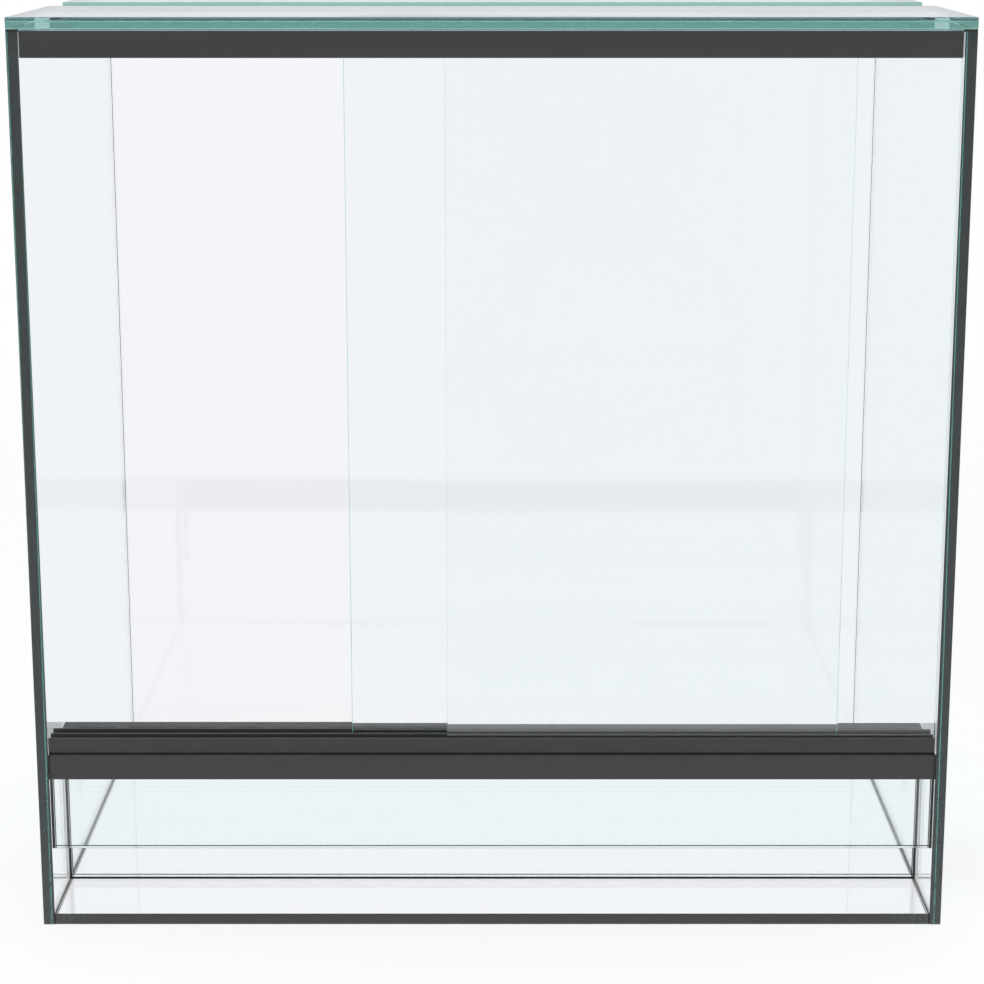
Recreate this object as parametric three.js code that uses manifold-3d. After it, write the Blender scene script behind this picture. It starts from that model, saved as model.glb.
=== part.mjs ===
// Terrarium cabinet: a glass box with two sliding doors above a vented sill and a set-back lower window.
// Air comes in under a hanging glass apron, rises through the slots of the sill behind the doors, and
// leaves through a slotted strip in the roof.
// Sizes are in millimetres. +X is right, +Y is back and +Z is up. The origin is the middle of the
// footprint, on the surface that the cabinet stands on.

import * as THREE from "three";
import Module from "manifold-3d";
import { mergeVertices } from "three/addons/utils/BufferGeometryUtils.js";

// The outside of the cabinet.
const WIDTH = 500;
const DEPTH = 300;
const HEIGHT = 500;

// The glass. Every pane edge has a ground arris, which is finer on the doors' polished edges.
const GLASS = 6.35;
const DOOR_GLASS = 5;
const ARRIS = 0.3;
const DOOR_ARRIS = 0.1;

// The silicone joints and adhesive tapes. HAIRLINE is kept clear all round each of them.
const END_JOINT = 1.2;
const EDGE_JOINT = 1;
const FLOOR_JOINT = 0.65;
const SILL_JOINT = 1;
const APRON_TAPE = 0.6;
const UPPER_RAIL_TAPE = 0.65;
const LOWER_RAIL_TAPE = 0.9;
const VENT_TAPE = 1.1;
const HAIRLINE = 0.05;

// The roof: a front pane, an open gap with a slotted strip under it, and a rear pane up to the back.
const ROOF_FRONT_DEPTH = 122;
const ROOF_GAP = 44;
const ROOF_VENT_SHEET = 1;
const ROOF_VENT_LAP = 20;

// The sill: an angle with its flange down in front and its plate back over the lower window.
const SILL_TOP = 99.6;
const SILL_SHEET = 1.6;
const SILL_FLANGE = 14;
const WINDOW_SETBACK = 47.6;

// The apron: a glass strip that hangs behind the sill's flange.
const APRON_BOTTOM = 44.3;
const APRON_HEAD_GAP = 0.5;

// The door rails: E sections with two channels, one on the sill and a deeper one under the roof.
const RAIL_SETBACK = 1.5;
const RAIL_WALL = 1.6;
const RAIL_FLOOR = 1.5;
const RAIL_LEFT_GAP = 0.1;
const RAIL_RIGHT_GAP = 0.6;
const LOWER_RAIL_HEIGHT = 8.3;
const UPPER_RAIL_HEIGHT = 13.9;

// The doors. Each stands on its channel's floor and reaches into the channel above it.
const DOOR_SIDE_PLAY = 0.6;
const DOOR_FOOT_GAP = 0.3;
const DOOR_HEAD_LAP = 4.6;
const DOOR_END_GAP = 0.3;
const DOOR_OVERLAP = 49.2;
const LEFT_DOOR_OPEN = 166;

// The air slots, in rows along the width.
const SLOT_LENGTH = 22;
const SLOT_WIDTH = 2.4;
const SLOT_BRIDGE = 6;
const SLOT_ROW_PITCH = 5;
const SLOT_MARGIN = 3;

// Finishes.
const CLEAR_GLASS = { color: 0xd9ece8, roughness: 0.03, metalness: 0, transparent: true, opacity: 0.35 };
const DOOR_CLEAR_GLASS = { color: 0xdfeeeb, roughness: 0.03, metalness: 0, transparent: true, opacity: 0.3 };
const BLACK_SILICONE = { color: 0x151616, roughness: 0.5, metalness: 0 };
const RAIL_PLASTIC = { color: 0x434645, roughness: 0.45, metalness: 0 };
const SILL_COATING = { color: 0x454545, roughness: 0.5, metalness: 0.1 };
const TAPE_FOAM = { color: 0x161616, roughness: 0.8, metalness: 0 };
const CLEAR_TAPE = { color: 0xa9c4bf, roughness: 0.2, metalness: 0, transparent: true, opacity: 0.5 };

// Planes that the pieces share.
const LEFT = -WIDTH / 2;
const RIGHT = WIDTH / 2;
const FRONT = -DEPTH / 2;
const BACK = DEPTH / 2;
const INSIDE_LEFT = LEFT + GLASS;
const INSIDE_RIGHT = RIGHT - GLASS;
const BETWEEN_LEFT = INSIDE_LEFT + END_JOINT;
const BETWEEN_RIGHT = INSIDE_RIGHT - END_JOINT;
const SIDE_GAPS = { left: [INSIDE_LEFT, BETWEEN_LEFT], right: [BETWEEN_RIGHT, INSIDE_RIGHT] };
const FLOOR_LEFT = INSIDE_LEFT + FLOOR_JOINT;
const FLOOR_RIGHT = INSIDE_RIGHT - FLOOR_JOINT;
const INSIDE_BACK = BACK - GLASS;
const EDGE_BACK = INSIDE_BACK - EDGE_JOINT;
const ROOF_UNDERSIDE = HEIGHT - GLASS;
const WALL_TOP = ROOF_UNDERSIDE - EDGE_JOINT;
const SILL_UNDERSIDE = SILL_TOP - SILL_SHEET;
const WINDOW_FRONT = FRONT + WINDOW_SETBACK;
const WINDOW_REAR = WINDOW_FRONT + GLASS;
const GAP_FRONT = FRONT + ROOF_FRONT_DEPTH;
const GAP_REAR = GAP_FRONT + ROOF_GAP;

// What the rails and doors come to.
const CHANNEL = DOOR_GLASS + 2 * DOOR_SIDE_PLAY;
const RAIL_DEPTH = 3 * RAIL_WALL + 2 * CHANNEL;
const RAIL_FRONT = FRONT + RAIL_SETBACK;
const RAIL_REAR = RAIL_FRONT + RAIL_DEPTH;
const LOWER_RAIL_BASE = SILL_TOP + LOWER_RAIL_TAPE;
const UPPER_RAIL_TOP = ROOF_UNDERSIDE - UPPER_RAIL_TAPE;
const DOOR_BOTTOM = LOWER_RAIL_BASE + RAIL_FLOOR + DOOR_FOOT_GAP;
const DOOR_TOP = UPPER_RAIL_TOP - UPPER_RAIL_HEIGHT + DOOR_HEAD_LAP;
const DOOR_WIDTH = (INSIDE_RIGHT - INSIDE_LEFT - 2 * DOOR_END_GAP + DOOR_OVERLAP) / 2;

const wasm = await Module();
wasm.setup();

const cabinet = new THREE.Group();
const shell = new THREE.Group();
const sill = new THREE.Group();
const rails = new THREE.Group();
const roofVent = new THREE.Group();
cabinet.add(shell, sill, rails, roofVent);

/** The middle of a [low, high] span. */
function middle([low, high]) {
  return (low + high) / 2;
}

/** The length of a [low, high] span. */
function extent([low, high]) {
  return high - low;
}

/** Adds a named mesh with a material of its own to a group. */
function add(group, name, geometry, finish, x, y, z) {
  const mesh = new THREE.Mesh(geometry, new THREE.MeshStandardMaterial(finish));
  mesh.name = name;
  mesh.position.set(x, y, z);
  group.add(mesh);
}

// How an outline drawn in X and Y, with its thickness along Z, is stood up for each thin direction.
const X_AXIS = new THREE.Vector3(1, 0, 0);
const Y_AXIS = new THREE.Vector3(0, 1, 0);
const Z_AXIS = new THREE.Vector3(0, 0, 1);
const STAND = {
  x: new THREE.Matrix4().makeBasis(Y_AXIS, Z_AXIS, X_AXIS),
  y: new THREE.Matrix4().makeBasis(Z_AXIS, X_AXIS, Y_AXIS),
  z: new THREE.Matrix4(),
};

/** A rectangle about the origin, as a shape. */
function rectangle(width, height) {
  return new THREE.Shape([
    new THREE.Vector2(-width / 2, -height / 2),
    new THREE.Vector2(width / 2, -height / 2),
    new THREE.Vector2(width / 2, height / 2),
    new THREE.Vector2(-width / 2, height / 2),
  ]);
}

/** A glass pane over three spans, thin along one axis, with an arris round both faces. */
function pane(group, name, thin, x, y, z, finish = CLEAR_GLASS, arris = ARRIS) {
  const faces = { x: [y, z], y: [z, x], z: [x, y] };
  const thickness = extent({ x, y, z }[thin]);
  const [across, up] = faces[thin];
  const geometry = new THREE.ExtrudeGeometry(rectangle(extent(across), extent(up)), {
    depth: thickness - 2 * arris,
    bevelThickness: arris,
    bevelSize: arris,
    bevelOffset: -arris,
    bevelSegments: 1,
  });
  geometry.translate(0, 0, arris - thickness / 2);
  geometry.applyMatrix4(STAND[thin]);
  add(group, name, geometry, finish, middle(x), middle(y), middle(z));
}

/** A silicone joint or a tape that fills the gap given by three spans, less the hairline. */
function filler(group, name, x, y, z, finish = BLACK_SILICONE) {
  const size = [x, y, z].map((span) => extent(span) - 2 * HAIRLINE);
  add(group, name, new THREE.BoxGeometry(...size), finish, middle(x), middle(y), middle(z));
}

/** A bar along X over a span, from a closed outline of [y, z] corners, anticlockwise. */
function barAlongX(corners, x) {
  const outline = new THREE.Shape(corners.map(([y, z]) => new THREE.Vector2(y, z)));
  const geometry = new THREE.ExtrudeGeometry(outline, { depth: extent(x), bevelEnabled: false });
  return geometry.applyMatrix4(STAND.x).translate(x[0], 0, 0);
}

/** A solid for cutting, from a closed geometry. */
function solidOf(geometry) {
  const bare = new THREE.BufferGeometry();
  bare.setAttribute("position", geometry.getAttribute("position"));
  bare.setIndex(geometry.getIndex());
  const merged = mergeVertices(bare);
  return new wasm.Manifold(
    new wasm.Mesh({
      numProp: 3,
      vertProperties: merged.getAttribute("position").array,
      triVerts: new Uint32Array(merged.getIndex().array),
    }),
  );
}

/** The geometry of a cut solid. */
function geometryOf(solid) {
  const mesh = solid.getMesh();
  const geometry = new THREE.BufferGeometry();
  geometry.setAttribute("position", new THREE.BufferAttribute(mesh.vertProperties, 3));
  geometry.setIndex(new THREE.BufferAttribute(mesh.triVerts, 1));
  geometry.computeVertexNormals();
  return geometry;
}

/** The middles of as many copies as fit a span, a pitch apart and centred in it. */
function spread([low, high], size, pitch) {
  const count = Math.max(1, Math.floor((high - low - size) / pitch) + 1);
  const first = (low + high - (count - 1) * pitch) / 2;
  return Array.from({ length: count }, (_, index) => first + index * pitch);
}

/** A geometry with rows of slots cut down through it, inside a field of two spans. */
function withSlots(geometry, xField, yField, z) {
  let solid = solidOf(geometry);
  const cutter = new THREE.BoxGeometry(SLOT_LENGTH, SLOT_WIDTH, 2 * extent(z));
  for (const x of spread(xField, SLOT_LENGTH, SLOT_LENGTH + SLOT_BRIDGE)) {
    for (const y of spread(yField, SLOT_WIDTH, SLOT_ROW_PITCH)) {
      solid = solid.subtract(solidOf(cutter.clone().translate(x, y, middle(z))));
    }
  }
  return geometryOf(solid);
}

/** The panes that are bonded into the box, with the silicone between them. */
function buildShell() {
  pane(shell, "left_side_panel", "x", [LEFT, INSIDE_LEFT], [FRONT, EDGE_BACK], [0, WALL_TOP]);
  pane(shell, "right_side_panel", "x", [INSIDE_RIGHT, RIGHT], [FRONT, EDGE_BACK], [0, WALL_TOP]);
  pane(shell, "back_panel", "y", [LEFT, RIGHT], [INSIDE_BACK, BACK], [0, WALL_TOP]);
  pane(shell, "bottom_panel", "z", [FLOOR_LEFT, FLOOR_RIGHT], [FRONT, EDGE_BACK], [0, GLASS]);
  pane(shell, "roof_front_pane", "z", [LEFT, RIGHT], [FRONT, GAP_FRONT], [ROOF_UNDERSIDE, HEIGHT]);
  pane(shell, "roof_rear_pane", "z", [LEFT, RIGHT], [GAP_REAR, BACK], [ROOF_UNDERSIDE, HEIGHT]);

  const wallEdges = { left: [LEFT, INSIDE_LEFT], right: [INSIDE_RIGHT, RIGHT] };
  const floorEnds = { left: [INSIDE_LEFT, FLOOR_LEFT], right: [FLOOR_RIGHT, INSIDE_RIGHT] };
  const roofJoint = [WALL_TOP, ROOF_UNDERSIDE];
  for (const side of ["left", "right"]) {
    filler(shell, `floor_${side}_joint`, floorEnds[side], [FRONT, EDGE_BACK], [0, GLASS]);
    filler(shell, `back_${side}_joint`, wallEdges[side], [EDGE_BACK, INSIDE_BACK], [0, WALL_TOP]);
    filler(shell, `roof_front_${side}_joint`, wallEdges[side], [FRONT, GAP_FRONT], roofJoint);
    filler(shell, `roof_rear_${side}_joint`, wallEdges[side], [GAP_REAR, INSIDE_BACK], roofJoint);
  }
  filler(shell, "floor_back_joint", [INSIDE_LEFT, INSIDE_RIGHT], [EDGE_BACK, INSIDE_BACK], [0, GLASS]);
  filler(shell, "roof_back_joint", [LEFT, RIGHT], [INSIDE_BACK, BACK], roofJoint);
}

/** The outline of the sill angle, as [y, z] corners. */
function sillOutline() {
  return [
    [FRONT, SILL_TOP - SILL_FLANGE],
    [FRONT + SILL_SHEET, SILL_TOP - SILL_FLANGE],
    [FRONT + SILL_SHEET, SILL_UNDERSIDE],
    [WINDOW_REAR, SILL_UNDERSIDE],
    [WINDOW_REAR, SILL_TOP],
    [FRONT, SILL_TOP],
  ];
}

/** The slotted sill, the lower window behind it and the apron in front, with their joints. */
function buildSill() {
  const across = [BETWEEN_LEFT, BETWEEN_RIGHT];
  const slotField = [RAIL_REAR + SLOT_MARGIN, WINDOW_FRONT - SLOT_MARGIN];
  const slotSpan = [BETWEEN_LEFT + SLOT_BRIDGE, BETWEEN_RIGHT - SLOT_BRIDGE];
  const angle = withSlots(barAlongX(sillOutline(), across), slotSpan, slotField, [SILL_UNDERSIDE, SILL_TOP]);
  add(sill, "sill_profile", angle, SILL_COATING, 0, 0, 0);

  const windowSpan = [WINDOW_FRONT, WINDOW_REAR];
  const windowFoot = GLASS + END_JOINT;
  const windowHead = SILL_UNDERSIDE - SILL_JOINT;
  pane(sill, "lower_window", "y", across, windowSpan, [windowFoot, windowHead]);

  const apronFront = FRONT + SILL_SHEET + APRON_TAPE;
  const apronSpan = [apronFront, apronFront + GLASS];
  const apronHeight = [APRON_BOTTOM, SILL_UNDERSIDE - APRON_HEAD_GAP];
  pane(sill, "apron_glass", "y", across, apronSpan, apronHeight);

  for (const side of ["left", "right"]) {
    const gap = SIDE_GAPS[side];
    filler(sill, `window_${side}_joint`, gap, windowSpan, [GLASS, SILL_UNDERSIDE]);
    filler(sill, `apron_${side}_joint`, gap, apronSpan, apronHeight);
    const end = barAlongX(sillOutline(), [gap[0] + HAIRLINE, gap[1] - HAIRLINE]);
    add(sill, `sill_${side}_joint`, end, BLACK_SILICONE, 0, 0, 0);
  }
  filler(sill, "window_foot_joint", across, windowSpan, [GLASS, windowFoot]);
  filler(sill, "window_head_joint", across, windowSpan, [windowHead, SILL_UNDERSIDE]);
  const flangeInside = [FRONT + SILL_SHEET, apronFront];
  filler(sill, "apron_tape", across, flangeInside, [SILL_TOP - SILL_FLANGE, SILL_UNDERSIDE], TAPE_FOAM);
}

/** An E section over a height, with its channels opening towards +Z, as [y, z] corners from its base. */
function railOutline(height) {
  const wallFronts = [0, 1, 2].map((wall) => wall * (RAIL_WALL + CHANNEL));
  const corners = [];
  for (const wall of [2, 1, 0]) {
    const front = wallFronts[wall];
    const floor = wall === 2 ? 0 : RAIL_FLOOR;
    corners.push([front + RAIL_WALL, floor], [front + RAIL_WALL, height]);
    corners.push([front, height], [front, wall > 0 ? RAIL_FLOOR : 0]);
  }
  return corners;
}

/** The two rails with their tapes. The upper one hangs from the roof with its channels down. */
function buildRails() {
  const across = [INSIDE_LEFT + RAIL_LEFT_GAP, INSIDE_RIGHT - RAIL_RIGHT_GAP];
  const depth = [RAIL_FRONT, RAIL_REAR];

  const lower = railOutline(LOWER_RAIL_HEIGHT).map(([y, z]) => [RAIL_FRONT + y, LOWER_RAIL_BASE + z]);
  add(rails, "lower_door_rail", barAlongX(lower, across), RAIL_PLASTIC, 0, 0, 0);
  filler(rails, "lower_rail_tape", across, depth, [SILL_TOP, LOWER_RAIL_BASE], TAPE_FOAM);

  const upper = railOutline(UPPER_RAIL_HEIGHT).map(([y, z]) => [RAIL_FRONT + y, UPPER_RAIL_TOP - z]);
  add(rails, "upper_door_rail", barAlongX(upper.reverse(), across), RAIL_PLASTIC, 0, 0, 0);
  filler(rails, "upper_rail_tape", across, depth, [UPPER_RAIL_TOP, ROOF_UNDERSIDE], CLEAR_TAPE);
}

/** The slotted strip that is taped under the roof's open gap. */
function buildRoofVent() {
  const stripTop = ROOF_UNDERSIDE - VENT_TAPE;
  const across = [BETWEEN_LEFT, BETWEEN_RIGHT];
  const depth = [GAP_FRONT - ROOF_VENT_LAP, GAP_REAR + ROOF_VENT_LAP];
  const thickness = [stripTop - ROOF_VENT_SHEET, stripTop];
  const sheet = new THREE.BoxGeometry(extent(across), extent(depth), ROOF_VENT_SHEET);
  sheet.translate(middle(across), middle(depth), middle(thickness));
  const slotSpan = [BETWEEN_LEFT + SLOT_BRIDGE, BETWEEN_RIGHT - SLOT_BRIDGE];
  const slotField = [GAP_FRONT + SLOT_MARGIN, GAP_REAR - SLOT_MARGIN];
  const strip = withSlots(sheet, slotSpan, slotField, thickness);
  add(roofVent, "roof_vent_strip", strip, SILL_COATING, 0, 0, 0);

  const taped = [stripTop, ROOF_UNDERSIDE];
  filler(roofVent, "roof_vent_front_tape", across, [GAP_FRONT - ROOF_VENT_LAP, GAP_FRONT], taped, CLEAR_TAPE);
  filler(roofVent, "roof_vent_rear_tape", across, [GAP_REAR, GAP_REAR + ROOF_VENT_LAP], taped, CLEAR_TAPE);
}

/** A door in one of the two channels, with its closed place along X, moved by how far it is slid. */
function buildDoor(name, channel, closed, slid) {
  const channelFront = RAIL_FRONT + RAIL_WALL + channel * (CHANNEL + RAIL_WALL);
  const doorFront = channelFront + DOOR_SIDE_PLAY;
  const door = new THREE.Group();
  const depth = [doorFront, doorFront + DOOR_GLASS];
  pane(door, name, "y", closed, depth, [DOOR_BOTTOM, DOOR_TOP], DOOR_CLEAR_GLASS, DOOR_ARRIS);
  door.position.x = slid;
  cabinet.add(door);
}

buildShell();
buildSill();
buildRails();
buildRoofVent();

const FRONT_CHANNEL = 0;
const REAR_CHANNEL = 1;
const rightClosed = [INSIDE_RIGHT - DOOR_END_GAP - DOOR_WIDTH, INSIDE_RIGHT - DOOR_END_GAP];
const leftClosed = [INSIDE_LEFT + DOOR_END_GAP, INSIDE_LEFT + DOOR_END_GAP + DOOR_WIDTH];
buildDoor("right_door", FRONT_CHANNEL, rightClosed, 0);
buildDoor("left_door", REAR_CHANNEL, leftClosed, LEFT_DOOR_OPEN);

export default cabinet;
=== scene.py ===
"""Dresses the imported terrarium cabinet: its panes, joints, slotted sill, door rails and roof vent."""

import logging
import math
from dataclasses import dataclass
from enum import Enum
from typing import Any

import bmesh
import bpy
from bmesh.types import BMesh, BMVert
from bpy.types import Material, Mesh, Node, NodeSocket, NodeTree, Object, bpy_prop_collection
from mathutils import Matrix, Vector


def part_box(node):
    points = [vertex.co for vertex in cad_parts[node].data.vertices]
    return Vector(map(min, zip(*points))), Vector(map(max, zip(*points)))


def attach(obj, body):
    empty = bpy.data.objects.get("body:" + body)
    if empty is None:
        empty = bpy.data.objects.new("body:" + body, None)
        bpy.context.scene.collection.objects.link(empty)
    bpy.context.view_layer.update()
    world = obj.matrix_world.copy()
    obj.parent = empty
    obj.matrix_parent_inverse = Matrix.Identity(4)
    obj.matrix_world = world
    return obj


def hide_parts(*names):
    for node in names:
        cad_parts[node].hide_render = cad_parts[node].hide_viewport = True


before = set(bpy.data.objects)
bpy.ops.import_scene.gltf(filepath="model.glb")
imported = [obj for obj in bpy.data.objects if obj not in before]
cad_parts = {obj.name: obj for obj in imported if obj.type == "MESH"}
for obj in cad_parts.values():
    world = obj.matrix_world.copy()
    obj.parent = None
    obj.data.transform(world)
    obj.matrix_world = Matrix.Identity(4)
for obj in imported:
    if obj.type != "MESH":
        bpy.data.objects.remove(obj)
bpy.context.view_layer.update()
NODE_BOXES = {node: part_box(node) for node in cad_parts}

LOG = logging.getLogger("terrarium")
BOX_BODY = "box"
MM = 0.001
LONG_EDGE = 100 * MM
MERGE_DISTANCE = 0.002 * MM
FLAT_TURN = math.radians(0.5)
SHARP_TURN = math.radians(50)
SMOOTH_TURN = math.radians(35)
COUNT_TOLERANCE = 1e-6
NO_SQUEEZE = Vector((0.0, 0.0, 0.0))
WHITE = (1.0, 1.0, 1.0)
Colour = tuple[float, float, float]
Pair = tuple[float, float]


class Axis(Enum):
    """A main direction of the cabinet: X along its width, Y along its depth, Z upwards."""

    X = 0
    Y = 1
    Z = 2

    @property
    def vector(self) -> Vector:
        """The unit vector along this axis."""
        return Vector([1.0 if i == self.value else 0.0 for i in range(3)])

    @property
    def others(self) -> tuple[int, int]:
        """The indices of the two other axes, in order."""
        first, second = [i for i in range(3) if i != self.value]
        return first, second


class Slot(Enum):
    """The material slots of the record."""

    FLOAT_GLASS = "float_glass"
    DOOR_GLASS = "door_glass"
    BLACK_SILICONE = "black_silicone"
    RAIL_PLASTIC = "rail_plastic"
    SILL_COATING = "sill_coating"
    TAPE_FOAM = "tape_foam"
    CLEAR_TAPE = "clear_tape"


class TreeKind(Enum):
    """The kinds of node group."""

    SHADER = "ShaderNodeTree"
    GEOMETRY = "GeometryNodeTree"


# ---- node building


class NodeGraph:
    """Adds nodes to a node tree and links them."""

    def __init__(self, tree: NodeTree) -> None:
        """Keeps the tree and empties it.

        Args:
            tree: the tree that the nodes go into.
        """
        self.tree = tree
        tree.nodes.clear()

    def add(self, kind: str, inputs: dict | None = None, **settings: Any) -> Node:
        """Adds one node.

        Args:
            kind: the node's type, such as ShaderNodeMath.
            inputs: a value, or a socket to link from, for each input by its name or number.
            settings: the node's own properties.

        Returns:
            The new node.
        """
        node = self.tree.nodes.new(kind)
        for name, value in settings.items():
            setattr(node, name, value)
        for key, value in (inputs or {}).items():
            if isinstance(value, NodeSocket):
                self.tree.links.new(value, node.inputs[key])
            else:
                node.inputs[key].default_value = value
        return node

    def math(self, operation: str, first: Any, second: Any = 0.0) -> NodeSocket:
        """Adds a Math node and returns its value.

        Args:
            operation: what the node works out.
            first: the first value or socket.
            second: the second value or socket.

        Returns:
            The node's output socket.
        """
        node = self.add("ShaderNodeMath", {0: first, 1: second}, operation=operation)
        return node.outputs[0]

    def ramp(self, value: Any, low: Any, high: Any, start: Any = 0.0, end: Any = 1.0) -> NodeSocket:
        """Maps a value from one range onto another, clamped.

        Args:
            value: the value or socket that is mapped.
            low: where the first range starts.
            high: where the first range ends.
            start: the result at low.
            end: the result at high.

        Returns:
            The mapped value's socket.
        """
        inputs = {"Value": value, "From Min": low, "From Max": high, "To Min": start, "To Max": end}
        return self.add("ShaderNodeMapRange", inputs).outputs[0]

    def noise(self, place: Any, scale: Any, detail: float = 2.0) -> NodeSocket:
        """Adds a noise texture.

        Args:
            place: the socket with the place.
            scale: its features per metre.
            detail: its octaves.

        Returns:
            The noise, about 0.5 on average.
        """
        inputs = {"Vector": place, "Scale": scale, "Detail": detail}
        return self.add("ShaderNodeTexNoise", inputs).outputs["Fac"]

    def blend(self, factor: Any, first: Any, second: Any) -> NodeSocket:
        """Mixes two colours.

        Args:
            factor: the share of the second colour.
            first: a colour or socket.
            second: a colour or socket.

        Returns:
            The mixed colour's socket.
        """
        inputs = {0: factor}
        for key, value in ((6, first), (7, second)):
            inputs[key] = value if isinstance(value, NodeSocket) else (*value, 1.0)
        return self.add("ShaderNodeMix", inputs, data_type="RGBA", clamp_factor=True).outputs[2]

    def mix_shaders(self, factor: Any, first: Node, second: Node) -> Node:
        """Mixes two shaders.

        Args:
            factor: the share of the second shader.
            first: the first shader's node.
            second: the second shader's node.

        Returns:
            The mixing node.
        """
        return self.add("ShaderNodeMixShader", {0: factor, 1: first.outputs[0], 2: second.outputs[0]})

    def group(self, tree: NodeTree, inputs: dict[str, Any]) -> bpy_prop_collection:
        """Places a shader group.

        Args:
            tree: the group.
            inputs: the values of its inputs.

        Returns:
            The sockets that it puts out.
        """
        return self.add("ShaderNodeGroup", inputs, node_tree=tree).outputs


SOCKETS = {float: "NodeSocketFloat", int: "NodeSocketInt", tuple: "NodeSocketVector"}


def make_group(
    name: str, kind: TreeKind, inputs: dict[str, Any], outputs: tuple[str, ...]
) -> tuple[NodeGraph, bpy_prop_collection]:
    """Starts a node group with named sockets.

    Args:
        name: the group's name.
        kind: the kind of its tree.
        inputs: the value of each input by name, or the socket type of one that has no value.
        outputs: the names of its outputs: geometry in a geometry tree, and otherwise numbers.

    Returns:
        The graph that the group's nodes are added to, and the sockets of its inputs.
    """
    tree = bpy.data.node_groups.new(name, kind.value)
    for label, value in inputs.items():
        valueless = isinstance(value, str)
        socket_type = value if valueless else SOCKETS[type(value)]
        socket = tree.interface.new_socket(label, in_out="INPUT", socket_type=socket_type)
        if not valueless:
            socket.default_value = value
    socket_type = "NodeSocketGeometry" if kind is TreeKind.GEOMETRY else "NodeSocketFloat"
    for label in outputs:
        tree.interface.new_socket(label, in_out="OUTPUT", socket_type=socket_type)
    graph = NodeGraph(tree)
    return graph, graph.add("NodeGroupInput").outputs


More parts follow.
